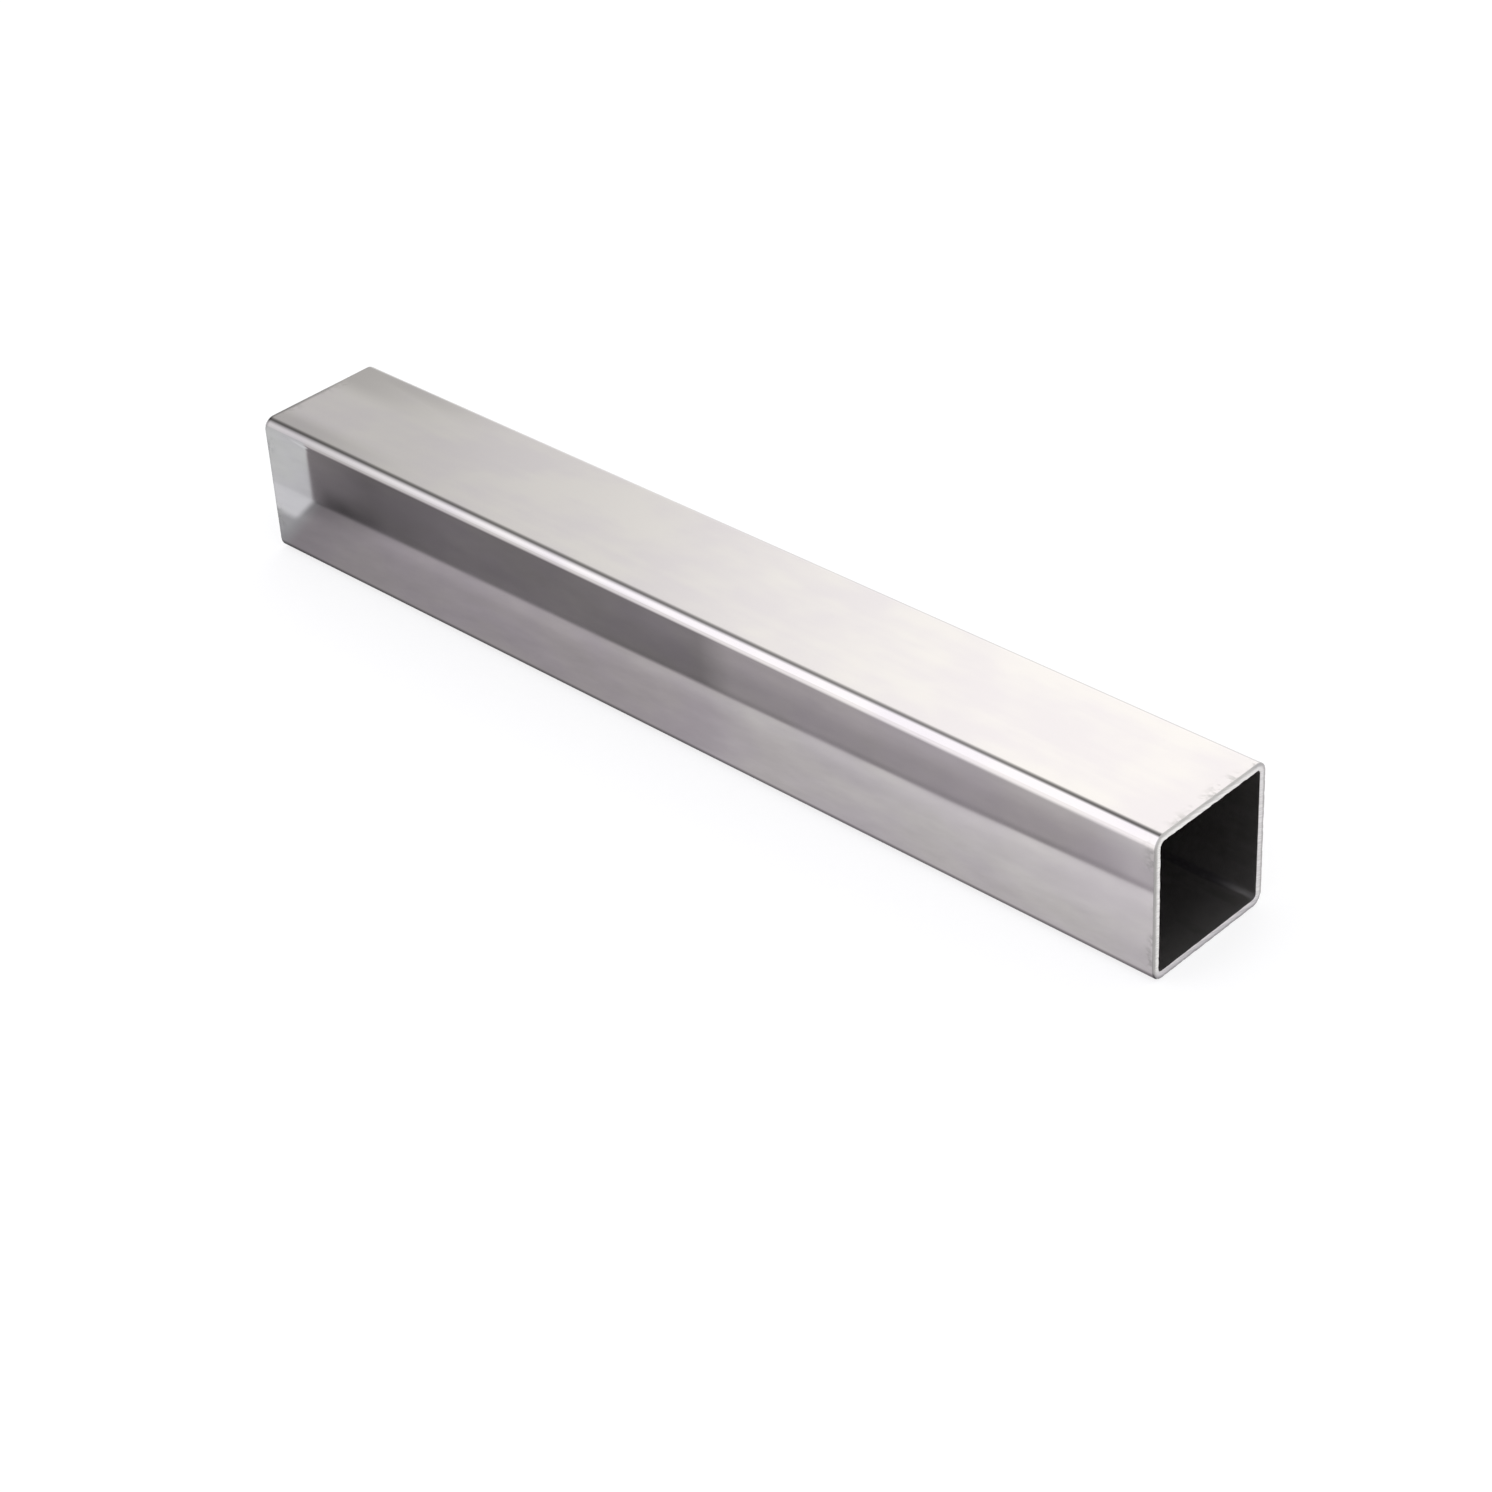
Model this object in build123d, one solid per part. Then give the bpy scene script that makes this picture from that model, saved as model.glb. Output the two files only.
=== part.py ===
from build123d import *
import os

# Square tube, roll-formed from stainless strip and seam-welded, sawn to length.
# The origin is the middle of the face it lies on. +X runs along the tube, +Z is up.

# Section
side = 40.0                  # outside width and height
wall = 2.0                   # thickness of the strip
inner_corner_radius = 1.2    # inside of each rolled corner

# Sawn ends
length = 300.0               # end to end
outer_edge_round = 0.4       # burr brushed off the outer edge of each end
inner_edge_bevel = 0.25      # burr scraped off the inner edge of each end

# Weld that closes the strip, ground flush outside and left as it ran inside
bead_width = 2.6             # toe to toe, along the wall
bead_height = 0.3            # crown above the wall's inner face

# Sizes that follow from those
bore = side - 2 * wall
outer_corner_radius = inner_corner_radius + wall    # the strip keeps its thickness round the bend


def section_plane(x):
    # Plane across the tube at x, centred on its axis, with local x along +Y and local y along +Z
    return Plane(origin=(x, 0, side / 2), x_dir=(0, 1, 0), z_dir=(1, 0, 0))


def rolled_shell():
    # The strip's hollow square section, run along the whole length
    section = RectangleRounded(side, side, outer_corner_radius)
    section -= RectangleRounded(bore, bore, inner_corner_radius)
    return extrude(section_plane(-length / 2) * section, amount=length)


def end_faces(shell):
    return shell.faces().filter_by(Axis.X)


def deburr(shell):
    # The saw leaves a burr on both edges of each end: scraped off inside, brushed round outside
    inner_edges = [
        edge for face in end_faces(shell) for wire in face.inner_wires() for edge in wire.edges()
    ]
    bevelled = chamfer(inner_edges, inner_edge_bevel)
    outer_edges = [edge for face in end_faces(bevelled) for edge in face.outer_wire().edges()]
    return fillet(outer_edges, outer_edge_round)


def weld_bead():
    # A shallow crown along the middle of the front wall's inner face, fused half-way into the wall
    face_y = -bore / 2
    root_y = face_y - wall / 2
    toe_low = (face_y, -bead_width / 2)
    toe_high = (face_y, bead_width / 2)
    crown = ThreePointArc(toe_low, (face_y + bead_height, 0), toe_high)
    root = Polyline(toe_high, (root_y, bead_width / 2), (root_y, -bead_width / 2), toe_low)
    # Scraping the inner edges takes the bead's ends back by the same amount
    run = length - 2 * inner_edge_bevel
    return extrude(section_plane(-run / 2) * make_face(crown + root), amount=run)


def square_tube():
    return deburr(rolled_shell()) + weld_bead()


os.makedirs("parts", exist_ok=True)
export_step(square_tube(), "parts/square_tube.step")
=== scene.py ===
import math

import bpy
from mathutils import Matrix, Vector


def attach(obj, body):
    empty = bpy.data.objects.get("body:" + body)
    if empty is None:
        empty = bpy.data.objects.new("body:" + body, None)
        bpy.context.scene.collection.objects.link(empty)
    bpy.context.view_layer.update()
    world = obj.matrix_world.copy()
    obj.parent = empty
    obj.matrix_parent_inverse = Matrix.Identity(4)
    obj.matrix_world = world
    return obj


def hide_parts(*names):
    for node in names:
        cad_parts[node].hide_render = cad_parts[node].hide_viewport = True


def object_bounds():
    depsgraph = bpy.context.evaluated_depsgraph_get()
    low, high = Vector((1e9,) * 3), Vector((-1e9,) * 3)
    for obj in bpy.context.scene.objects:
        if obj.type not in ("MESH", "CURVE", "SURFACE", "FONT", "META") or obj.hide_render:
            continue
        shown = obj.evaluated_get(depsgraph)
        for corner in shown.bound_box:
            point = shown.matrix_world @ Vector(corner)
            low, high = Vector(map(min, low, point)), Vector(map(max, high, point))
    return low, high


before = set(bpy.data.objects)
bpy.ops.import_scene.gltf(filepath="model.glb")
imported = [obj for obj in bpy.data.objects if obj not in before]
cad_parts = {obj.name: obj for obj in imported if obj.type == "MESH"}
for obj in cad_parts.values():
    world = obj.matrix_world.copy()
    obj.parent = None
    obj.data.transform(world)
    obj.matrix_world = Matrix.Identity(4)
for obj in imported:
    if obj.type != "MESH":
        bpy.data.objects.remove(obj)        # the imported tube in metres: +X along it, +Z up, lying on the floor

mm = 0.001
cadLow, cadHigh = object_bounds()
tubeLength = (cadHigh.x - cadLow.x) / mm
tubeSide = (cadHigh.z - cadLow.z) / mm
wallThickness = 2.0


def hexColour(code):
    # sRGB hex to the linear RGBA that shaders take
    channels = [int(code[i:i + 2], 16) / 255 for i in (1, 3, 5)]
    linear = [c / 12.92 if c <= 0.04045 else ((c + 0.055) / 1.055) ** 2.4 for c in channels]
    return (*linear, 1.0)


def addNode(tree, kind, inputs=None, **settings):
    # adds one node: settings go on the node itself, an input takes a value or another node's output
    node = tree.nodes.new(kind)
    for name, value in settings.items():
        setattr(node, name, value)
    for key, value in (inputs or {}).items():
        if isinstance(value, bpy.types.NodeSocket):
            tree.links.new(value, node.inputs[key])
        else:
            node.inputs[key].default_value = value
    return node


def addMath(tree, operation, *values):
    # one sum on numbers or outputs
    return addNode(tree, "ShaderNodeMath", dict(enumerate(values)), operation=operation).outputs[0]


def addVectorMath(tree, operation, *values):
    # the same on points, each a tuple or an output
    return addNode(tree, "ShaderNodeVectorMath", dict(enumerate(values)), operation=operation).outputs[0]


def makePoint(tree, **numbers):
    # a point from its X, Y and Z, where one that isn't given stays 0
    return addNode(tree, "ShaderNodeCombineXYZ", numbers).outputs[0]


def splitPoint(tree, point):
    # the numbers of a point, found by the names X, Y and Z
    return addNode(tree, "ShaderNodeSeparateXYZ", {0: point}).outputs


def mixNumber(tree, share, first, second):
    return addNode(tree, "ShaderNodeMix", {0: share, 2: first, 3: second}).outputs[0]


def mixColour(tree, share, first, second, blend="MIX"):
    return addNode(tree, "ShaderNodeMix", {
        0: share, 6: first, 7: second,
    }, data_type="RGBA", blend_type=blend).outputs[2]


def ease(tree, value, low, high, start=0.0, end=1.0):
    # runs smoothly from start to end while the value goes from low to high
    return addNode(tree, "ShaderNodeMapRange", {
        "Value": value, "From Min": low, "From Max": high, "To Min": start, "To Max": end,
    }, interpolation_type="SMOOTHSTEP").outputs[0]


# camera

view = {
    "lens": 85.0,              # mm
    "sensor": 36.0,            # mm wide
    "nearest": 10.0,           # mm, anything closer isn't drawn
    "azimuth": 45.49,          # degrees, round from the long front side towards the near end
    "elevation": 34.486,       # degrees above the floor
    "roll": 3.647,             # degrees, the frame leans a little clockwise
    "distance": 888.0,         # mm from the aim point
    "aim": (5.1, 0.0, -9.07),  # mm, the point in the middle of the frame
}


def makeCamera():
    azimuth, elevation, roll = (math.radians(view[name]) for name in ("azimuth", "elevation", "roll"))
    back = Vector((
        math.sin(azimuth) * math.cos(elevation),
        -math.cos(azimuth) * math.cos(elevation),
        math.sin(elevation),
    ))
    right = Vector((0, 0, 1)).cross(back).normalized()
    up = back.cross(right)
    axes = Matrix((right, up, back)).transposed() @ Matrix.Rotation(-roll, 3, "Z")
    data = bpy.data.cameras.new("camera")
    data.lens = view["lens"]
    data.sensor_width = view["sensor"]
    data.clip_start = view["nearest"] * mm
    camera = bpy.data.objects.new("camera", data)
    place = (Vector(view["aim"]) + back * view["distance"]) * mm
    camera.matrix_world = Matrix.Translation(place) @ axes.to_4x4()
    bpy.context.scene.collection.objects.link(camera)
    bpy.context.scene.camera = camera


makeCamera()
bpy.context.scene.view_settings.view_transform = "Standard"
print("camera placed")


# materials

def startMaterial(name):
    material = bpy.data.materials.new(name)
    material.use_nodes = True
    material.node_tree.nodes.clear()
    return material, material.node_tree


def endMaterial(tree, inputs):
    shader = addNode(tree, "ShaderNodeBsdfPrincipled", {"Metallic": 1.0, **inputs})
    addNode(tree, "ShaderNodeOutputMaterial", {"Surface": shader.outputs["BSDF"]})


def objectMillimetres(tree):
    # the point on the object in mm, whole and as its three numbers
    place = addNode(tree, "ShaderNodeTexCoord").outputs["Object"]
    point = addVectorMath(tree, "MULTIPLY", place, (1 / mm, 1 / mm, 1 / mm))
    return point, splitPoint(tree, point)


def fromEitherEnd(tree, axis):
    # mm in from the nearer sawn end
    return addMath(tree, "SUBTRACT", tubeLength / 2, addMath(tree, "ABSOLUTE", axis["X"]))


def longNoise(tree, point, size, detail=2.0, roughness=0.5, shift=0.0):
    # noise from 0 to 1 whose patches are as long, deep and high as the three sizes in mm
    scaled = addVectorMath(tree, "MULTIPLY_ADD", point, tuple(1 / s for s in size), (shift,) * 3)
    noise = addNode(tree, "ShaderNodeTexNoise", {
        "Vector": scaled, "Scale": 1.0, "Detail": detail, "Roughness": roughness,
    })
    return noise.outputs["Fac"]


def bumpOf(tree, heights):
    # adds up patterns with their heights in thousandths of a mm and turns the sum into a bump
    total = 0.0
    for pattern, height in heights:
        total = addMath(tree, "MULTIPLY_ADD", pattern, height, total)
    return addNode(tree, "ShaderNodeBump", {"Height": total, "Distance": mm / 1000}).outputs["Normal"]


# a span is a pair of noise levels: none of a look below the first one, all of it above the second

satin = {
    "steel": "#D4D0CC",        # bright stainless strip, a touch warm
    "clouded": "#CFCACA",      # where handling has left it duller and cooler
    "scuffed": "#B7B4B2",
    "roughness": 0.045,        # nearly a mirror, so that things reflect with edges only a little soft
    "cloudRoughness": 0.03,    # added where it is clouded
    "scuffRoughness": 0.18,    # added where it is scuffed
    "grain": (40.0, 0.5, 0.5),      # mm: polishing lines run along; real ones are too fine to see
    "grainHeight": 0.12,            # thousandths of a mm
    "rollBand": (180.0, 3.5, 3.5),  # mm: broader bands that the rolls pressed in
    "rollHeight": 0.8,
    "wave": (80.0, 30.0, 30.0),     # mm: the flats are never quite flat
    "waveHeight": 40.0,
    "cloud": (26.0, 15.0, 15.0),
    "cloudBands": 0.2,              # share of the clouds that follows the bands
    "cloudSpan": (0.36, 0.64),
    "scuff": (1.8, 1.5, 1.5),
    "scuffSpan": (0.4, 0.66),
    "scuffGroup": (8.0, 6.0, 6.0),  # mm: scuffs come in groups with clean stretches between
    "groupSpan": (0.42, 0.62),
    "scuffReach": 4.5,              # mm in from each sawn end
}

# painted shade on the top at its far end; all places in mm
farTopShade = {
    # the colour of that painted shade
    "shadeColour": "#8A8785",
    "belowTop": (3.0, 0.3),    # it comes in between these
    "lowerDown": 0.12,         # share of it left below them
    "stripe": (1.9, 0.5),      # from the far cut: shaded right across the top
    "stripeAcross": (10.0, -17.0),  # back from the middle: the stripe goes from its back share to full
    "stripeAtBack": 0.45,
    "edges": (0.25 * tubeSide, 0.39 * tubeSide),  # out from the middle: both long edges of the top
    "edgeReach": (60.0, 10.0),      # from the far cut
    "edgeShare": 0.35,
    "corner": (2.0, 10.0),     # back from the middle: the top's back corner
    "cornerReach": (42.0, 0.0),
    "cornerShare": 0.38,
}


def farTopShadeShare(tree, axis):
    # how much painted shade the top has at its far end: most along the cut, fainter at its edges and back corner
    fromCut = addMath(tree, "ADD", axis["X"], tubeLength / 2)
    none, full = farTopShade["belowTop"]
    onTop = ease(tree, axis["Z"], tubeSide - none, tubeSide - full, farTopShade["lowerDown"], 1.0)
    across = ease(tree, axis["Y"], *farTopShade["stripeAcross"], farTopShade["stripeAtBack"], 1.0)
    stripe = addMath(tree, "MULTIPLY", ease(tree, fromCut, *farTopShade["stripe"]), across)
    fromMiddle = addMath(tree, "ABSOLUTE", axis["Y"])
    edges = ease(tree, fromMiddle, *farTopShade["edges"], 0.0, farTopShade["edgeShare"])
    edges = addMath(tree, "MULTIPLY", edges, ease(tree, fromCut, *farTopShade["edgeReach"]))
    corner = ease(tree, axis["Y"], *farTopShade["corner"], 0.0, farTopShade["cornerShare"])
    corner = addMath(tree, "MULTIPLY", corner, ease(tree, fromCut, *farTopShade["cornerReach"]))
    mostShade = addMath(tree, "MAXIMUM", stripe, addMath(tree, "MAXIMUM", edges, corner))
    return addMath(tree, "MULTIPLY", onTop, mostShade)


def longGrainStainless():
    # polished stainless with its grain along the tube: mirrors the studio softly, faintly streaked, with painted
    # shade on the top at the far end
    material, tree = startMaterial("longGrainStainless")
    point, axis = objectMillimetres(tree)
    grain = longNoise(tree, point, satin["grain"], roughness=0.6)
    bands = longNoise(tree, point, satin["rollBand"], shift=7.3)
    clouds = longNoise(tree, point, satin["cloud"], roughness=0.6, shift=3.1)
    wave = longNoise(tree, point, satin["wave"], detail=1.0, roughness=0.4, shift=11.7)
    haze = addMath(tree, "MULTIPLY", clouds, 1.0 - satin["cloudBands"])
    haze = addMath(tree, "MULTIPLY_ADD", bands, satin["cloudBands"], haze)
    clouded = ease(tree, haze, *satin["cloudSpan"])
    # the last few millimetres took knocks from the saw and from stacking
    nearEnd = ease(tree, fromEitherEnd(tree, axis), satin["scuffReach"], 0.0)
    groups = ease(tree, longNoise(tree, point, satin["scuffGroup"], 1.0, shift=9.1), *satin["groupSpan"])
    smudges = ease(tree, longNoise(tree, point, satin["scuff"], 1.0, shift=5.9), *satin["scuffSpan"])
    scuffed = addMath(tree, "MULTIPLY", addMath(tree, "MULTIPLY", groups, smudges), nearEnd)
    colour = mixColour(tree, clouded, hexColour(satin["steel"]), hexColour(satin["clouded"]))
    colour = mixColour(tree, scuffed, colour, hexColour(satin["scuffed"]))
    # painted shade on the top at the far end
    colour = mixColour(tree, farTopShadeShare(tree, axis), colour, hexColour(farTopShade["shadeColour"]))
    roughness = addMath(tree, "MULTIPLY_ADD", clouded, satin["cloudRoughness"], satin["roughness"])
    roughness = addMath(tree, "MULTIPLY_ADD", scuffed, satin["scuffRoughness"], roughness)
    normal = bumpOf(tree, [
        (grain, satin["grainHeight"]), (bands, satin["rollHeight"]), (wave, satin["waveHeight"]),
    ])
    endMaterial(tree, {"Base Color": colour, "Roughness": roughness, "Normal": normal})
    return material


cutEnd = {
    "fresh": "#F0EEEB",        # bare metal that the saw laid open
    "grooved": "#DBD9D7",      # bottoms of the saw's lines
    "sawLine": (40.0, 30.0, 0.3),  # mm: fine lines across the face, a little coarser than real ones
    "sawTilt": 17.0,           # degrees that the lines lean
    "sawSpan": (0.4, 0.62),
    "sawHeight": 1.5,          # thousandths of a mm
    "patch": (2.0, 2.0, 2.0),
    "patchHeight": 5.0,
    "patchRoughness": 0.12,
    "roughness": 0.26,
    "brushedBurr": "#A4A2A0",  # outer edge, dulled where the burr was brushed off
    "burrDepth": (1.3, 0.195),     # mm in from the outside of the wall: none of it beyond, all of it within
    "burrWander": (-0.17, 0.18),   # mm, how far that edge wanders
    "burrLitTop": (4.0, 0.5),     # mm below the top, where less of the burr makes the top read lighter: painted light
    "burrLitTopShare": 0.72,         # share of it left there
    "endShade": "#D8D6DC",       # painted shade laid over the foot of the cut, and half as much along its back
    "endShadeFoot": (4.0, 1.0),  # mm above the floor
    "endShadeBack": (8.0, 1.5),  # mm in from the back
    "backShare": 0.5,
}


def sawnStainless():
    # sawn end face: pale and matt beside the polished sides, with fine parallel lines, painted shade at its foot
    # and back and painted light along its top
    material, tree = startMaterial("sawnStainless")
    point, axis = objectMillimetres(tree)
    tilt = (math.radians(cutEnd["sawTilt"]), 0.0, 0.0)
    tilted = addNode(tree, "ShaderNodeMapping", {"Vector": point, "Rotation": tilt}).outputs[0]
    lines = longNoise(tree, tilted, cutEnd["sawLine"], roughness=0.6)
    patches = longNoise(tree, point, cutEnd["patch"], roughness=0.6, shift=4.4)
    grooves = ease(tree, lines, *cutEnd["sawSpan"])
    colour = mixColour(tree, grooves, hexColour(cutEnd["fresh"]), hexColour(cutEnd["grooved"]))
    # what is left of the brushed burr
    depth = addNode(tree, "ShaderNodeAttribute", attribute_name="depth").outputs["Fac"]
    least, most = cutEnd["burrWander"]
    wander = addMath(tree, "MULTIPLY_ADD", patches, most - least, least)
    burr = ease(tree, addMath(tree, "ADD", depth, wander), *cutEnd["burrDepth"])
    # painted light: less of the darker burr near the top of the rim
    none, full = cutEnd["burrLitTop"]
    onTop = ease(tree, axis["Z"], tubeSide - none, tubeSide - full, 1.0, cutEnd["burrLitTopShare"])
    burr = addMath(tree, "MULTIPLY", burr, onTop)
    colour = mixColour(tree, burr, colour, hexColour(cutEnd["brushedBurr"]))
    # painted shade: a little darker at the foot and along the back
    foot = ease(tree, axis["Z"], *cutEnd["endShadeFoot"])
    none, full = cutEnd["endShadeBack"]
    back = ease(tree, axis["Y"], tubeSide / 2 - none, tubeSide / 2 - full, 0.0, cutEnd["backShare"])
    endShade = addMath(tree, "MAXIMUM", foot, back)
    colour = mixColour(tree, endShade, colour, hexColour(cutEnd["endShade"]), "MULTIPLY")
    roughness = addMath(tree, "MULTIPLY_ADD", patches, cutEnd["patchRoughness"], cutEnd["roughness"])
    normal = bumpOf(tree, [(lines, cutEnd["sawHeight"]), (patches, cutEnd["patchHeight"])])
    endMaterial(tree, {"Base Color": colour, "Roughness": roughness, "Normal": normal})
    return material


bore = {
    "steel": "#B8B6B5",        # as it left the mill, never polished
    "stained": "#A9A7A5",
    "stain": (14.0, 7.0, 7.0),
    "stainSpan": (0.45, 0.68),
    "stainHeight": 2.0,        # thousandths of a mm
    "stainRoughness": 0.06,
    "rollLine": (90.0, 0.8, 0.8),
    "rollHeight": 0.6,
    "roughness": 0.3,
    "bend": (0.4 * tubeSide, 0.435 * tubeSide),  # mm out from the axis both ways: the bent corners
    "bendShade": "#98959A",    # painted shade in the bent corners, but for the last few mm
    "mouth": (14.0, 3.0),      # mm in from each end
    "bendRoughness": 0.12,     # added in the corners close to each mouth, where the strip is coarser
    "floorRoughness": 0.03,    # added on the lowest wall there, which catches a little light
    "faceDepth": 0.4,          # mm in front of a wall's inner face that still count as that wall
    "heatStraw": "#A8906A",    # heat tint left by the seam weld on the front wall
    "heatBlue": "#7C8396",
    "strawReach": (4.2, 2.1),  # mm either side of the weld: no tint beyond, all of it within
    "blueReach": (1.6, 2.8),   # all blue within, all straw beyond
    "tintWander": 2.0,         # mm that these edges wander
}


def millFinishStainless():
    # inside of the tube: duller mill finish that lets light die away, tinted beside the weld, with painted shade
    # in its bent corners deeper in
    material, tree = startMaterial("millFinishStainless")
    point, axis = objectMillimetres(tree)
    lines = longNoise(tree, point, bore["rollLine"], detail=3.0, roughness=0.6)
    stains = longNoise(tree, point, bore["stain"], detail=3.0, roughness=0.6, shift=8.8)
    stained = ease(tree, stains, *bore["stainSpan"])
    colour = mixColour(tree, stained, hexColour(bore["steel"]), hexColour(bore["stained"]))
    fromMiddle = addMath(tree, "ABSOLUTE", addMath(tree, "SUBTRACT", axis["Z"], tubeSide / 2))
    inCorner = addMath(tree, "MINIMUM", fromMiddle, addMath(tree, "ABSOLUTE", axis["Y"]))
    bent = ease(tree, inCorner, *bore["bend"])
    atMouth = ease(tree, fromEitherEnd(tree, axis), *bore["mouth"])
    # painted shade in the bent corners, away from each mouth
    scaled = addMath(tree, "MULTIPLY", bent, addMath(tree, "SUBTRACT", 1.0, atMouth))
    colour = mixColour(tree, scaled, colour, hexColour(bore["bendShade"]))
    # heat tint on the front wall: blue next to the weld, straw further off
    facePlace = wallThickness + bore["faceDepth"]
    onFrontWall = addMath(tree, "LESS_THAN", axis["Y"], facePlace - tubeSide / 2)
    wander = addMath(tree, "MULTIPLY_ADD", stains, bore["tintWander"], -bore["tintWander"] / 2)
    fromWeld = addMath(tree, "ADD", fromMiddle, wander)
    tinted = addMath(tree, "MULTIPLY", onFrontWall, ease(tree, fromWeld, *bore["strawReach"]))
    strawShare = ease(tree, fromWeld, *bore["blueReach"])
    hue = mixColour(tree, strawShare, hexColour(bore["heatBlue"]), hexColour(bore["heatStraw"]))
    colour = mixColour(tree, tinted, colour, hue)
    onFloor = addMath(tree, "LESS_THAN", axis["Z"], facePlace)
    coarser = addMath(tree, "MULTIPLY", bent, bore["bendRoughness"])
    coarser = addMath(tree, "MULTIPLY_ADD", onFloor, bore["floorRoughness"], coarser)
    roughness = addMath(tree, "MULTIPLY_ADD", stains, bore["stainRoughness"], bore["roughness"])
    roughness = addMath(tree, "MULTIPLY_ADD", atMouth, coarser, roughness)
    normal = bumpOf(tree, [(lines, bore["rollHeight"]), (stains, bore["stainHeight"])])
    endMaterial(tree, {"Base Color": colour, "Roughness": roughness, "Normal": normal})
    return material


weldMetal = {
    "crest": "#A9A6A2",
    "toe": "#75706C",          # darker where oxide gathers between the ripples
    "toeHeight": (0.02, 0.22),  # mm above the wall: toe colour below, crest colour above
    "straw": "#A58F6C",
    "strawPatch": (6.0, 1.5, 1.5),
    "strawSpan": (0.45, 0.7),
    "pit": (0.4, 0.4, 0.4),
    "pitHeight": 6.0,          # thousandths of a mm
    "pitRoughness": 0.15,
    "roughness": 0.34,
}


def tintedWeldStainless():
    # the bead inside: duller cast metal with straw and grey heat colours
    material, tree = startMaterial("tintedWeldStainless")
    point, axis = objectMillimetres(tree)
    patches = longNoise(tree, point, weldMetal["strawPatch"], roughness=0.6)
    pits = longNoise(tree, point, weldMetal["pit"], roughness=0.6, shift=2.2)
    height = addMath(tree, "ADD", axis["Y"], tubeSide / 2 - wallThickness)
    crested = ease(tree, height, *weldMetal["toeHeight"])
    colour = mixColour(tree, crested, hexColour(weldMetal["toe"]), hexColour(weldMetal["crest"]))
    tinted = ease(tree, patches, *weldMetal["strawSpan"])
    colour = mixColour(tree, tinted, colour, hexColour(weldMetal["straw"]))
    roughness = addMath(tree, "MULTIPLY_ADD", pits, weldMetal["pitRoughness"], weldMetal["roughness"])
    normal = bumpOf(tree, [(pits, weldMetal["pitHeight"])])
    endMaterial(tree, {"Base Color": colour, "Roughness": roughness, "Normal": normal})
    return material


outsideMaterial = longGrainStainless()
cutMaterial = sawnStainless()
insideMaterial = millFinishStainless()
weldMaterial = tintedWeldStainless()
print("materials made")


# geometry

def newGeometryTree(name, inputs):
    # a Geometry Nodes tree with one named input for each entry; returns it and its inputs
    tree = bpy.data.node_groups.new(name, "GeometryNodeTree")
    tree.interface.new_socket(name="Geometry", in_out="OUTPUT", socket_type="NodeSocketGeometry")
    for label, value in inputs.items():
        kind = "NodeSocketInt" if isinstance(value, int) else "NodeSocketFloat"
        tree.interface.new_socket(name=label, in_out="INPUT", socket_type=kind)
    return tree, tree.nodes.new("NodeGroupInput").outputs


def makePiece(name, tree, values, flatSides=False):
    # runs a tree on an empty object and keeps the result as a plain mesh at the origin
    host = bpy.data.objects.new(name + "Host", bpy.data.meshes.new(name + "Host"))
    bpy.context.scene.collection.objects.link(host)
    modifier = host.modifiers.new("Nodes", "NODES")
    modifier.node_group = tree
    for item in tree.interface.items_tree:
        if item.in_out == "INPUT":
            modifier[item.identifier] = values[item.name]
    if flatSides:
        # large faces keep their own direction right up to the rolled corners
        smoothing = host.modifiers.new("Weighted", "WEIGHTED_NORMAL")
        smoothing.weight = 100
        smoothing.keep_sharp = True
    evaluated = host.evaluated_get(bpy.context.evaluated_depsgraph_get())
    mesh = bpy.data.meshes.new_from_object(evaluated)
    mesh.name = name
    piece = bpy.data.objects.new(name, mesh)
    bpy.context.scene.collection.objects.link(piece)
    bpy.data.objects.remove(host)
    return piece


def roundedRectangle(tree, width, height, radius, steps):
    plain = addNode(tree, "GeometryNodeCurvePrimitiveQuadrilateral", {"Width": width, "Height": height})
    return addNode(tree, "GeometryNodeFilletCurve", {
        "Curve": plain.outputs[0], "Count": steps, "Radius": radius,
    }, mode="POLY").outputs[0]


def paint(tree, geometry, material, where=True):
    # gives every face this material, or those where the last value is true
    return addNode(tree, "GeometryNodeSetMaterial", {
        "Geometry": geometry, "Selection": where, "Material": material,
    }).outputs[0]


# tube: the long thin section of the wall, carried round a rounded square

shell = {
    "Side": tubeSide,
    "Length": tubeLength,
    "Wall": wallThickness,
    "Corner radius": 3.2,     # outside of each rolled corner
    "Edge round": 0.4,        # outer edge of each sawn end
    "Edge scrape": 0.25,      # inner edge of each sawn end
    "Rim wear": 0.14,         # deepest nick left by the saw and the brush
    "Rim depth": 0.2,         # nicks are only this close to the cut
    "Wear size": 1.6,
    "Wear begins": 0.42,      # noise level
    "Wear deepest": 0.75,
    "Cut depth": 0.42,        # the cut's look reaches over both edges, so a little past the edge round
    "Corner steps": 14,
    "Edge steps": 5,
    "Flat cuts": 63,
}


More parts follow.
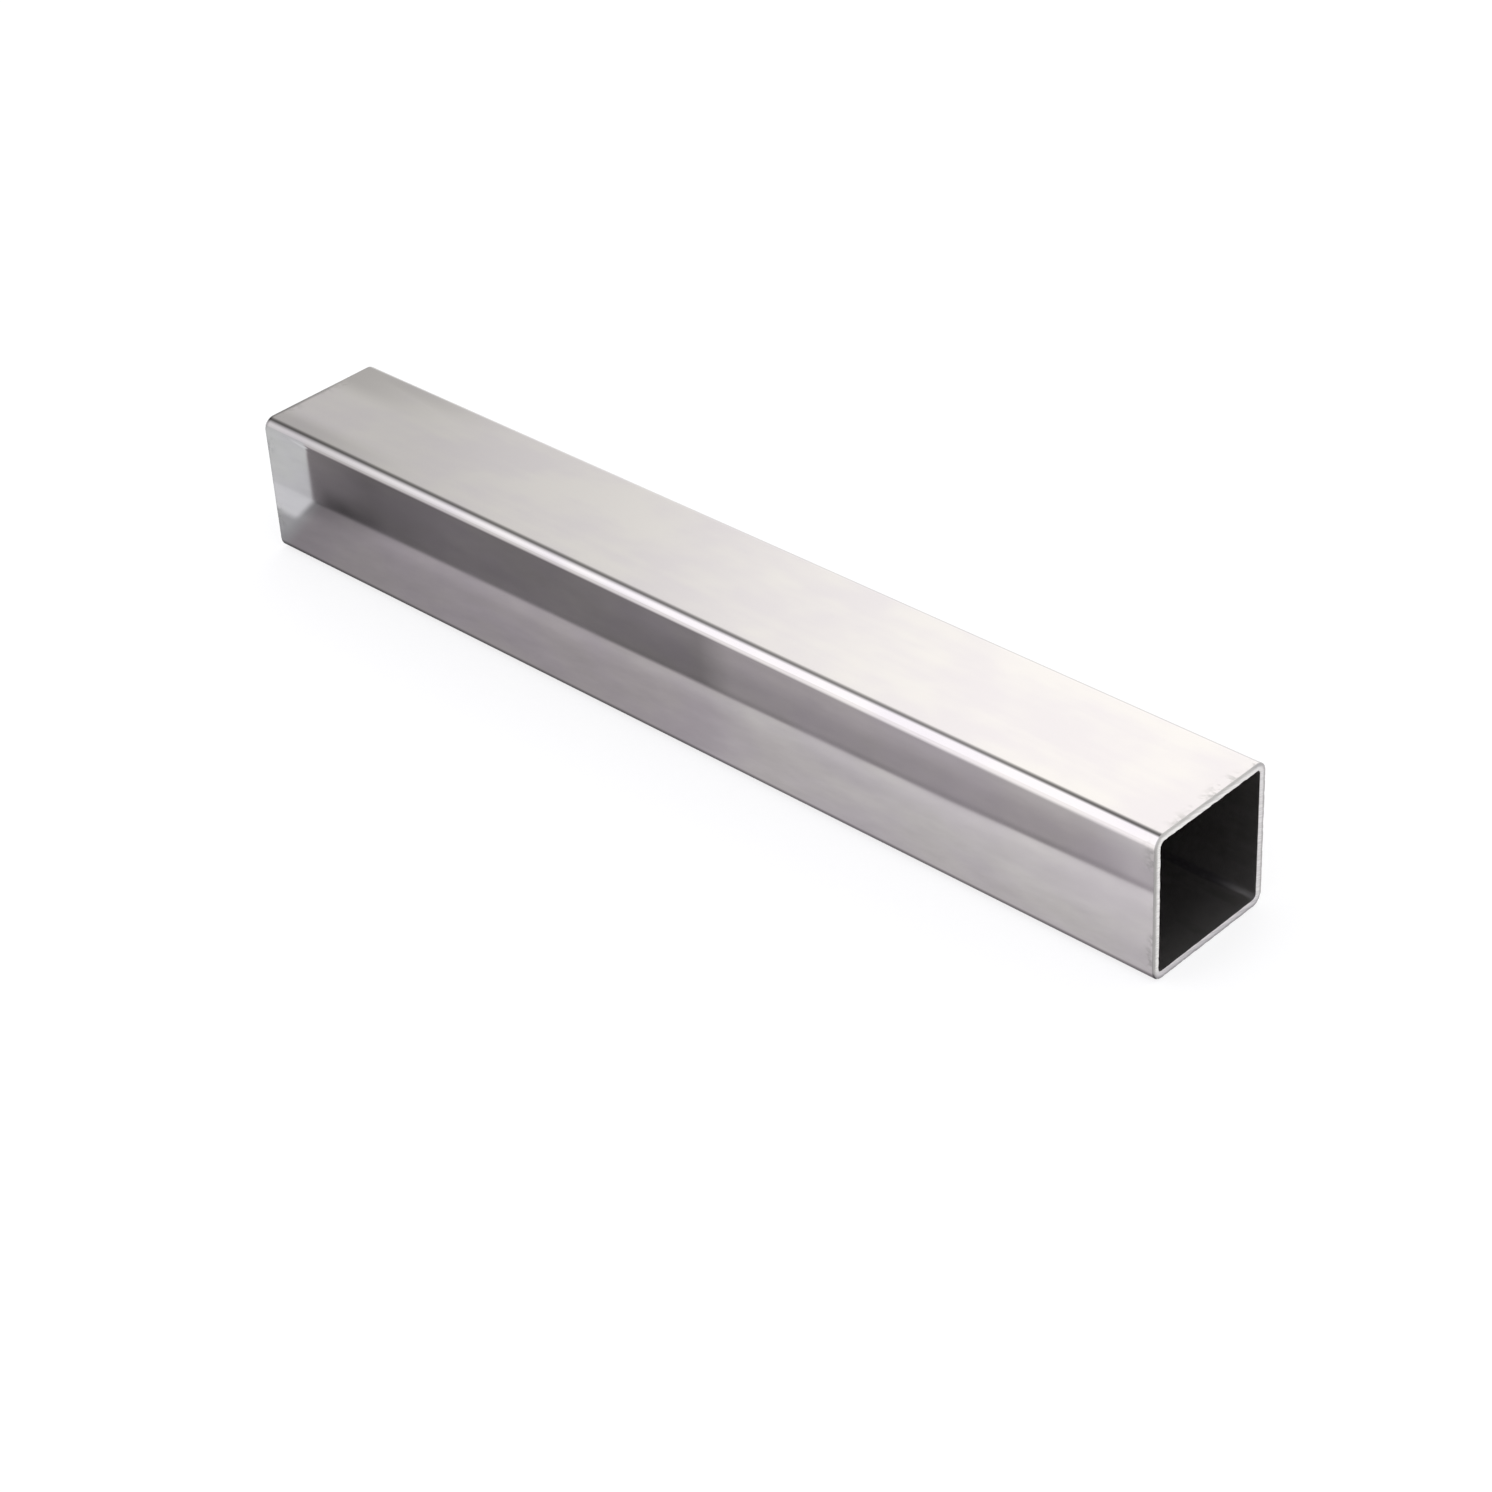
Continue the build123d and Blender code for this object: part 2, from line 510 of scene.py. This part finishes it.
def tubeTree():
    tree, take = newGeometryTree("tubeShell", shell)
    # the place of whatever the node that asks is working on
    point = addNode(tree, "GeometryNodeInputPosition").outputs[0]
    axis = splitPoint(tree, point)

    rolled = roundedRectangle(tree, take["Side"], take["Side"], take["Corner radius"], take["Corner steps"])
    # only the flats are cut finer: each one follows the last point of a rolled corner
    index = addNode(tree, "GeometryNodeInputIndex").outputs[0]
    place = addMath(tree, "MODULO", index, addMath(tree, "ADD", take["Corner steps"], 1.0))
    isFlat = addMath(tree, "COMPARE", place, take["Corner steps"], 0.1)
    ring = addNode(tree, "GeometryNodeSubdivideCurve", {
        "Curve": rolled, "Cuts": addMath(tree, "MULTIPLY", isFlat, take["Flat cuts"]),
    })
    turned = addNode(tree, "GeometryNodeSetCurveNormal", {"Curve": ring.outputs[0]}, mode="Z_UP")

    # the wall's section: outer corners rounded by the brush, inner ones scraped
    isOuter = addMath(tree, "GREATER_THAN", axis["X"], 0.0)
    radius = mixNumber(tree, isOuter, take["Edge scrape"], take["Edge round"])
    section = roundedRectangle(tree, take["Wall"], take["Length"], radius, take["Edge steps"])
    inward = makePoint(tree, X=addMath(tree, "MULTIPLY", take["Wall"], -0.5))
    seated = addNode(tree, "GeometryNodeTransform", {"Geometry": section, "Translation": inward})
    # depth below the outside in mm, which the cut end's material reads
    marked = addNode(tree, "GeometryNodeStoreNamedAttribute", {
        "Geometry": seated.outputs[0], "Name": "depth", "Value": addMath(tree, "MULTIPLY", axis["X"], -1.0),
    })
    swept = addNode(tree, "GeometryNodeCurveToMesh", {
        "Curve": turned.outputs[0], "Profile Curve": marked.outputs[0],
    })

    # laid along X with its lowest face on the floor, and from millimetres to metres
    lift = makePoint(tree, Z=addMath(tree, "MULTIPLY", take["Side"], 0.5 * mm))
    laid = addNode(tree, "GeometryNodeTransform", {
        "Geometry": swept.outputs[0],
        "Translation": lift,
        "Rotation": (math.pi / 2, 0.0, math.pi / 2),
        "Scale": (mm, mm, mm),
    })
    smooth = addNode(tree, "GeometryNodeSetShadeSmooth", {"Geometry": laid.outputs[0]})

    # the rims wander inwards a little, as no saw and brush leave them true
    normal = addNode(tree, "GeometryNodeInputNormal").outputs[0]
    halfLength = addMath(tree, "MULTIPLY", take["Length"], 0.5)
    fromEnd = addMath(tree, "MULTIPLY_ADD", addMath(tree, "ABSOLUTE", axis["X"]), -1 / mm, halfLength)
    isRim = addMath(tree, "LESS_THAN", fromEnd, take["Rim depth"])
    wear = addNode(tree, "ShaderNodeTexNoise", {
        "Vector": point, "Scale": addMath(tree, "DIVIDE", 1 / mm, take["Wear size"]), "Detail": 3.0,
    }).outputs["Fac"]
    inwards = addMath(tree, "MULTIPLY", take["Rim wear"], -mm)
    nick = addMath(tree, "MULTIPLY", ease(tree, wear, take["Wear begins"], take["Wear deepest"]), inwards)
    offset = addNode(tree, "ShaderNodeVectorMath", {
        0: normal, "Scale": addMath(tree, "MULTIPLY", nick, isRim),
    }, operation="SCALE").outputs[0]
    worn = addNode(tree, "GeometryNodeSetPosition", {"Geometry": smooth.outputs[0], "Offset": offset})

    # faces at the ends are the sawn ones, and of the rest those that look at the axis are inside
    radial = addVectorMath(tree, "SUBTRACT", point, lift)
    radial = addVectorMath(tree, "MULTIPLY", radial, (0.0, 1.0, 1.0))
    facing = addNode(tree, "ShaderNodeVectorMath", {0: radial, 1: normal}, operation="DOT_PRODUCT")
    isInside = addMath(tree, "LESS_THAN", facing.outputs["Value"], 0.0)
    isCut = addMath(tree, "LESS_THAN", fromEnd, take["Cut depth"])
    painted = paint(tree, worn.outputs[0], outsideMaterial)
    painted = paint(tree, painted, insideMaterial, isInside)
    painted = paint(tree, painted, cutMaterial, isCut)
    addNode(tree, "NodeGroupOutput", {"Geometry": painted})
    return tree


tube = makePiece("tubeShell", tubeTree(), shell, flatSides=True)
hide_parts("square_tube")
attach(tube, "root")
print("tube made:", len(tube.data.polygons), "faces")


# seam weld: a low crown along the middle of the front wall's inner face, under overlapping ripples

seam = {
    "Run": tubeLength - 1.0,
    "Bead width": 2.6,
    "Bead height": 0.3,
    "Crown share": 0.72,       # height of the crown between the ripples
    "Ripple pitch": 1.1,
    "Ripple reach": 0.95,      # of the pitch, to either side of a ripple's middle
    "Ripple lean": 6.0,        # degrees, each ripple rides up on the one before
    "Narrowest": 0.86,         # of the bead
    "Widest": 0.98,
    "Wall face": tubeSide / 2 - wallThickness,
    "Seed": 4,
}


def seamTree():
    tree, take = newGeometryTree("seamWeld", seam)
    # drawn flat, with Z as height above the wall, and stood against the wall at the end
    place = splitPoint(tree, addNode(tree, "GeometryNodeInputPosition").outputs[0])
    halfWidth = addMath(tree, "MULTIPLY", take["Bead width"], 0.5)
    strip = addNode(tree, "GeometryNodeMeshGrid", {
        "Size X": take["Run"], "Size Y": take["Bead width"], "Vertices X": 2, "Vertices Y": 11,
    })
    share = addMath(tree, "DIVIDE", place["Y"], halfWidth)
    arch = addMath(tree, "SUBTRACT", 1.0, addMath(tree, "MULTIPLY", share, share))
    crownHeight = addMath(tree, "MULTIPLY", take["Bead height"], take["Crown share"])
    crown = addNode(tree, "GeometryNodeSetPosition", {
        "Geometry": strip.outputs[0],
        "Offset": makePoint(tree, Z=addMath(tree, "MULTIPLY", arch, crownHeight)),
    })

    # ripples: flattened half-domes, one every pitch
    count = addMath(tree, "FLOOR", addMath(tree, "DIVIDE", take["Run"], take["Ripple pitch"]))
    half = addMath(tree, "MULTIPLY", addMath(tree, "SUBTRACT", count, 1.0), -0.5)
    centres = addNode(tree, "GeometryNodeMeshLine", {
        "Count": count,
        "Start Location": makePoint(tree, X=addMath(tree, "MULTIPLY", half, take["Ripple pitch"])),
        "Offset": makePoint(tree, X=take["Ripple pitch"]),
    }, mode="OFFSET")
    dome = addNode(tree, "GeometryNodeMeshUVSphere", {"Segments": 12, "Rings": 6, "Radius": 1.0})
    cap = addNode(tree, "GeometryNodeDeleteGeometry", {
        "Geometry": dome.outputs[0], "Selection": addMath(tree, "LESS_THAN", place["Z"], -0.01),
    }, domain="POINT")
    wide = addNode(tree, "FunctionNodeRandomValue", {
        2: take["Narrowest"], 3: take["Widest"], "Seed": take["Seed"],
    }).outputs[1]
    size = makePoint(
        tree,
        X=addMath(tree, "MULTIPLY", take["Ripple pitch"], take["Ripple reach"]),
        Y=addMath(tree, "MULTIPLY", wide, halfWidth),
        Z=addMath(tree, "MULTIPLY", wide, take["Bead height"]),
    )
    lean = makePoint(tree, Y=addMath(tree, "RADIANS", take["Ripple lean"]))
    ripples = addNode(tree, "GeometryNodeInstanceOnPoints", {
        "Points": centres.outputs[0], "Instance": cap.outputs[0], "Scale": size, "Rotation": lean,
    })
    solid = addNode(tree, "GeometryNodeRealizeInstances", {"Geometry": ripples.outputs[0]})

    joined = tree.nodes.new("GeometryNodeJoinGeometry")
    tree.links.new(crown.outputs[0], joined.inputs[0])
    tree.links.new(solid.outputs[0], joined.inputs[0])
    smooth = addNode(tree, "GeometryNodeSetShadeSmooth", {"Geometry": joined.outputs[0]})
    middle = tubeSide / 2 * mm
    stood = addNode(tree, "GeometryNodeTransform", {
        "Geometry": smooth.outputs[0],
        "Translation": makePoint(tree, Y=addMath(tree, "MULTIPLY", take["Wall face"], -mm), Z=middle),
        "Rotation": (-math.pi / 2, 0.0, 0.0),
        "Scale": (mm, mm, mm),
    })
    addNode(tree, "NodeGroupOutput", {"Geometry": paint(tree, stood.outputs[0], weldMaterial)})
    return tree


weld = makePiece("seamWeld", seamTree(), seam)
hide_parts("square_tube")
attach(weld, "root")
print("seam weld made:", len(weld.data.polygons), "faces")


# studio: bright panels all round with one dark gap overhead, a white floor and a low card in front that glows
# with painted shade for the metal's reflections

studio = {
    "horizon": 1.0,            # white band low down, the same all round
    "horizonTop": (0.05, 0.15),  # how high a direction points where the band gives way to the panels
    # how bright the panels are along the tube: -1 is straight off its far end, 1 off its near end
    "along": (
        (-1, 1.0), (-0.86, 0.9), (-0.76, 0.73), (-0.7, 0.77), (-0.68, 0.8), (-0.66, 0.93), (-0.63, 1.06),
        (-0.6, 1.25), (-0.57, 1.37), (-0.54, 1.46), (-0.5, 1.5), (-0.38, 1.5),
        (-0.1, 1.3), (0.3, 1.1), (1, 1.05),
    ),
    # degrees round the tube's axis, from the back over the top to the front, with the panels' share there
    "round": (
        (46, 1.0), (56, 0.99), (62, 0.86), (68, 0.65), (76, 0.43), (84, 0.28), (92, 0.25), (98, 0.37),
        (108, 0.77), (120, 1.22), (131, 1.44), (140, 1.47), (150, 1.35), (158, 1.27), (168, 1.15), (180, 1.0),
    ),
    # how far the panels differ: fully over the tube's far half, and plainer for the other sides of the set
    "contrast": (
        (-1, 0.2), (-0.9, 0.2), (-0.78, 1.0), (-0.54, 1.0), (-0.5, 1.45), (-0.38, 1.2), (-0.2, 0.2), (1, 0.2),
    ),
    "turn": (-4.0, 9.0),       # degrees that the dark gap overhead leans back, at the far and the near end
    "turnAlong": (-0.64, -0.49),  # where along the tube it goes from one to the other
    "brightest": 1.52,         # no panel goes past this
    "coolFront": (1.02, 1.02, 1.08, 1.0),  # the panels in front are a touch cooler than those above
    "frontRound": (85.0, 110.0),  # degrees round the axis, where those in front begin
}


def levelRamp(tree, value, stops):
    # looks a value up in pairs of value and level, with straight lines between them
    low, high, most = stops[0][0], stops[-1][0], max(level for _, level in stops)
    share = addNode(tree, "ShaderNodeMapRange", {"Value": value, "From Min": low, "From Max": high})
    ramp = addNode(tree, "ShaderNodeValToRGB", {"Fac": share.outputs[0]})
    elements = ramp.color_ramp.elements
    for spot, level in stops:
        if spot == low:
            element = elements[0]
        elif spot == high:
            element = elements[len(elements) - 1]
        else:
            element = elements.new((spot - low) / (high - low))
        element.color = (level / most, level / most, level / most, 1.0)
    return addMath(tree, "MULTIPLY", ramp.outputs["Color"], most)


def makeWorld():
    world = bpy.data.worlds.new("softStudio")
    world.use_nodes = True
    bpy.context.scene.world = world
    tree = world.node_tree
    tree.nodes.clear()
    axis = splitPoint(tree, addNode(tree, "ShaderNodeTexCoord").outputs["Generated"])
    along = levelRamp(tree, axis["X"], studio["along"])
    angle = addMath(tree, "DEGREES", addMath(tree, "ARCTAN2", axis["Z"], axis["Y"]))
    angle = addMath(tree, "ADD", angle, ease(tree, axis["X"], *studio["turnAlong"], *studio["turn"]))
    contrast = levelRamp(tree, axis["X"], studio["contrast"])
    around = addMath(tree, "POWER", levelRamp(tree, angle, studio["round"]), contrast)
    panels = addMath(tree, "MINIMUM", addMath(tree, "MULTIPLY", around, along), studio["brightest"])
    above = ease(tree, axis["Z"], *studio["horizonTop"])
    level = mixNumber(tree, above, studio["horizon"], panels)
    inFront = addMath(tree, "MULTIPLY", above, ease(tree, angle, *studio["frontRound"]))
    colour = mixColour(tree, inFront, (1.0, 1.0, 1.0, 1.0), studio["coolFront"])
    background = addNode(tree, "ShaderNodeBackground", {"Color": colour, "Strength": level})
    addNode(tree, "ShaderNodeOutputWorld", {"Surface": background.outputs[0]})


def stageSheet(name, first, second, material):
    # one sheet of the set, stretched between two lines of equally many points in mm
    count = len(first)
    faces = [(i, i + 1, count + i + 1, count + i) for i in range(count - 1)]
    mesh = bpy.data.meshes.new(name)
    mesh.from_pydata([Vector(point) * mm for point in (*first, *second)], [], faces)
    mesh.materials.append(material)
    sheet = bpy.data.objects.new(name, mesh)
    bpy.context.scene.collection.objects.link(sheet)
    return sheet


floor = {
    "reach": 6000.0,           # mm to every side
    "height": -0.05,           # mm, so that the tube's lowest face stays clear of it
    "colour": 0.32,
    "lift": 0.71,              # what the paper lacks to white, given only to the eye and to reflections
}


def whitePaper():
    # matt white paper: shows the tube's shadow and reads as white to the camera and in the metal
    material, tree = startMaterial("whitePaper")
    tone = floor["colour"]
    paper = addNode(tree, "ShaderNodeBsdfDiffuse", {"Color": (tone, tone, tone, 1.0)})
    rays = addNode(tree, "ShaderNodeLightPath").outputs
    mirrored = addMath(tree, "MAXIMUM", rays["Is Glossy Ray"], rays["Is Transmission Ray"])
    seen = addMath(tree, "MAXIMUM", rays["Is Camera Ray"], mirrored)
    lift = addNode(tree, "ShaderNodeEmission", {"Strength": addMath(tree, "MULTIPLY", seen, floor["lift"])})
    both = addNode(tree, "ShaderNodeAddShader", {0: paper.outputs[0], 1: lift.outputs[0]})
    addNode(tree, "ShaderNodeOutputMaterial", {"Surface": both.outputs[0]})
    return material


def makeFloor():
    reach, height = floor["reach"], floor["height"]
    front = [(-reach, -reach, height), (reach, -reach, height)]
    back = [(-reach, reach, height), (reach, reach, height)]
    stageSheet("studioFloor", front, back, whitePaper())


# the card: an upright face and the shaded floor before it, both glowing sheets of painted shade seen only in the
# metal; places are in mm, and X runs along the tube
card = {
    "farLeft": -300.0,         # both sheets go on past the grey's left end, pale from there
    "rightEnd": 152.0,
    "tall": 42.0,
    "leftEnd": -164.0,
    "leftDepth": 42.1,         # in front of the tube's axis, at that end
    "lean": 0.0133,            # how far it moves out with each mm towards the right
    "bendAt": 68.0,            # right of here it bends out a little more
    "bendLean": 0.022,
    "tint": (1.0, 0.955, 1.03, 1.0),
    "paleTint": (0.99, 0.98, 1.02, 1.0),
    "paleTintFrom": (0.45, 0.75),   # levels between which one tint turns into the other
    "endTint": (0.965, 1.007, 1.053, 1.0),  # left of the card's end, which makes the metal there a plain grey
    "mottle": (16.0, 5.0, 5.0),     # faint patches, as on any used card
    "mottleShare": 0.29,
    # the card's grey glow along X, painted shade; left of its end the set is pale
    "grey": (
        (-163.4, 0.77), (-162.4, 0.23), (-149, 0.19), (-138, 0.155), (-118, 0.185), (-98, 0.215), (-57, 0.23),
        (-14, 0.23), (-3, 0.385), (26, 0.41), (67, 0.445), (89, 0.465), (111, 0.505), (123, 0.62),
    ),
    "topCut": 6.5,             # how far its left end leans in higher up, so it stands square in the metal
    "topCutHeights": (14.0, 29.0),
    # painted light: how much lighter it is at half its height than low down
    "rise": (
        (-163.4, 0.0), (-162.4, 0.15), (-105, 0.1), (-85, 0.0), (-58, 0.0),
        (-25, 0.25), (10, 0.2), (50, 0.27), (120, 0.25),
    ),
    "riseHeights": (5.0, 13.0),
    # painted contact shade: how much darker it is right at its foot
    "foot": (
        (-163, 0.0), (-160, 0.05), (-156, 0.48), (-150, 0.6), (-141, 0.33), (-131, 0.05),
        (-60, 0.08), (0, 0.22), (120, 0.32),
    ),
    "footShadeAlong": (-140.0, -100.0),  # between these the painted foot shade gets lower
    "footShadeHeights": (8.0, 2.0),
    # height where it begins to ease into the white behind it, and over how much height
    "begin": ((-140, 27.0), (10, 20.5), (60, 14.0), (100, 11.0)),
    "reach": ((-140, 12.0), (10, 15.0), (60, 20.5), (100, 24.0)),
    "behindAlong": (-150.0, 90.0),
    "behind": (0.8, 1.4),      # level of that white, left and right
}

shade = {
    "nearEdge": 18.5,          # in front of the tube's axis, so the sheet starts under the tube
    "height": 0.1,
    # the floor's level along X, in the card's shade
    "level": (
        (-154, 0.5), (-151, 0.42), (-147.5, 0.35), (-143, 0.34), (-125, 0.375), (-80, 0.42), (-36, 0.44),
        (2, 0.5), (16, 0.59), (44, 0.64), (82, 0.71), (122, 0.765), (138, 0.79),
    ),
    "slant": 0.47,             # how far these places move left with each mm out from the tube
    "open": 1.03,              # share of the level away from both feet
    "dimReach": (17.0, 4.0),   # from the tube's foot: dimmer closer in
    "dimAlong": (40.0, 90.0),
    "dim": (0.04, 0.14),       # by this much, left and right
    "tubeFootShadeReach": (-0.5, 2.5),  # painted contact shade right under the tube's rounded edge
    "tubeFootShadeLevel": 0.35,
    "caughtReach": (9.0, 2.0),   # from the card's foot: light caught there
    "caughtAlong": (-150.0, -108.0),
    "caught": (-0.26, 0.24),   # lost in shade at the card's left
    "fadeAlong": (-40.0, 60.0),
    "fade": 0.1,               # it catches less towards the right
    "contactShadeReach": 1.2,        # painted contact shade where the card meets the floor
    "contactShadeAlong": (-145.0, -110.0),
    "contactShade": (0.5, 0.7),
    "pale": 0.9,               # the floor left of the card's end, down to a shade along the tube's foot
    "paleSlant": 0.37,
    "paleAlong": (-152.6, -155.6),
    "paleReach": (11.0, 14.5),  # from the tube's foot
    "endTintAlong": (-146.0, -153.0),
}


def glowingSheet(tree, point, level, pastEnd):
    # glows at its own level of painted shade and light, a little lilac where it is grey and plainer where it is
    # pale
    palish = ease(tree, level, *card["paleTintFrom"])
    colour = mixColour(tree, palish, card["tint"], card["paleTint"])
    colour = mixColour(tree, pastEnd, colour, card["endTint"])
    patches = longNoise(tree, point, card["mottle"], detail=4.0, roughness=0.65)
    share = card["mottleShare"]
    level = addMath(tree, "MULTIPLY", level, addMath(tree, "MULTIPLY_ADD", patches, share, 1.0 - share / 2))
    glow = addNode(tree, "ShaderNodeEmission", {"Color": colour, "Strength": level})
    addNode(tree, "ShaderNodeOutputMaterial", {"Surface": glow.outputs[0]})


def paintedShadeCard():
    # upright face glowing with painted shade, darkest at its left and with painted contact shade at its foot;
    # high up the grey eases off to the white behind it
    material, tree = startMaterial("paintedShadeCard")
    point, axis = objectMillimetres(tree)
    cut = ease(tree, axis["Z"], *card["topCutHeights"], 0.0, card["topCut"])
    leaning = addMath(tree, "SUBTRACT", axis["X"], cut)
    face = levelRamp(tree, leaning, card["grey"])
    # painted light: lighter higher up the card
    rise = levelRamp(tree, axis["X"], card["rise"])
    rise = addMath(tree, "MULTIPLY", rise, ease(tree, axis["Z"], *card["riseHeights"]))
    face = addMath(tree, "MULTIPLY", face, addMath(tree, "ADD", rise, 1.0))
    # painted contact shade at the card's foot
    footShadeTop = ease(tree, axis["X"], *card["footShadeAlong"], *card["footShadeHeights"])
    foot = levelRamp(tree, axis["X"], card["foot"])
    foot = addMath(tree, "MULTIPLY", foot, ease(tree, axis["Z"], footShadeTop, 0.0))
    face = addMath(tree, "MULTIPLY", face, addMath(tree, "SUBTRACT", 1.0, foot))
    above = addMath(tree, "SUBTRACT", axis["Z"], levelRamp(tree, axis["X"], card["begin"]))
    faded = addMath(tree, "DIVIDE", above, levelRamp(tree, axis["X"], card["reach"]))
    behind = ease(tree, axis["X"], *card["behindAlong"], *card["behind"])
    level = mixNumber(tree, ease(tree, faded, 0.0, 1.0), face, behind)
    paleEnd, greyStart = card["grey"][0][0], card["grey"][1][0]
    glowingSheet(tree, point, level, ease(tree, leaning, greyStart, paleEnd))
    return material


def paintedFloorShade():
    # painted shade, glowing, between the tube and the card: deep at both feet, cut slantwise at the left
    material, tree = startMaterial("paintedFloorShade")
    point, axis = objectMillimetres(tree)
    depth = addMath(tree, "MULTIPLY", axis["Y"], -1.0)
    fromTube = addMath(tree, "SUBTRACT", depth, tubeSide / 2)
    straight = card["leftDepth"] - card["lean"] * card["leftEnd"]
    foot = addMath(tree, "MULTIPLY_ADD", axis["X"], card["lean"], straight)
    pastBend = addMath(tree, "MAXIMUM", addMath(tree, "SUBTRACT", axis["X"], card["bendAt"]), 0.0)
    foot = addMath(tree, "MULTIPLY_ADD", pastBend, card["bendLean"], foot)
    fromCard = addMath(tree, "SUBTRACT", foot, depth)
    slanted = addMath(tree, "MULTIPLY_ADD", fromTube, shade["slant"], axis["X"])
    level = levelRamp(tree, slanted, shade["level"])
    # painted shade: dimmer towards the tube's foot, most so near its near end
    dim = ease(tree, slanted, *shade["dimAlong"], *shade["dim"])
    dim = addMath(tree, "MULTIPLY", ease(tree, fromTube, *shade["dimReach"]), dim)
    level = addMath(tree, "MULTIPLY", level, addMath(tree, "SUBTRACT", shade["open"], dim))
    # painted contact shade under the tube's rounded edge
    tubeFootShade = ease(tree, fromTube, *shade["tubeFootShadeReach"], shade["tubeFootShadeLevel"], 1.0)
    level = addMath(tree, "MULTIPLY", level, tubeFootShade)
    # painted light caught along the card's foot, lost in painted shade at its left, and the painted contact
    # shade at the card's foot itself
    caught = ease(tree, slanted, *shade["caughtAlong"], *shade["caught"])
    caught = addMath(tree, "SUBTRACT", caught, ease(tree, axis["X"], *shade["fadeAlong"], 0.0, shade["fade"]))
    sheen = addMath(tree, "MULTIPLY", ease(tree, fromCard, *shade["caughtReach"]), caught)
    deepest = ease(tree, slanted, *shade["contactShadeAlong"], *shade["contactShade"])
    contactShade = ease(tree, fromCard, shade["contactShadeReach"], 0.0, 0.0, deepest)
    shading = addMath(tree, "SUBTRACT", sheen, contactShade)
    level = addMath(tree, "MULTIPLY", level, addMath(tree, "ADD", shading, 1.0))
    # past the card's end the floor is pale again, but for the tube's own foot
    beyond = addMath(tree, "MULTIPLY_ADD", fromTube, shade["paleSlant"], axis["X"])
    beyond = ease(tree, beyond, *shade["paleAlong"])
    pale = addMath(tree, "MULTIPLY", beyond, ease(tree, fromTube, *shade["paleReach"]))
    level = mixNumber(tree, pale, level, shade["pale"])
    glowingSheet(tree, point, level, ease(tree, slanted, *shade["endTintAlong"]))
    return material


def makeCard():
    # the card's painted shade is there only for reflections in the tube's front: no other ray meets it
    stops = (card["farLeft"], card["bendAt"], card["rightEnd"])
    feet = []
    for stop in stops:
        depth = card["leftDepth"] + card["lean"] * (stop - card["leftEnd"])
        feet.append((stop, -depth - card["bendLean"] * max(stop - card["bendAt"], 0.0)))
    bottom = [(*foot, 0) for foot in feet]
    top = [(*foot, card["tall"]) for foot in feet]
    upright = stageSheet("uprightShadeCard", bottom, top, paintedShadeCard())
    near = [(stop, -shade["nearEdge"], shade["height"]) for stop in stops]
    far = [(*foot, shade["height"]) for foot in feet]
    lying = stageSheet("lyingShadeCard", near, far, paintedFloorShade())
    for sheet in (upright, lying):
        sheet.visible_camera = False
        sheet.visible_diffuse = False
        sheet.visible_transmission = False
        sheet.visible_shadow = False


makeWorld()
makeFloor()
makeCard()
print("studio set")
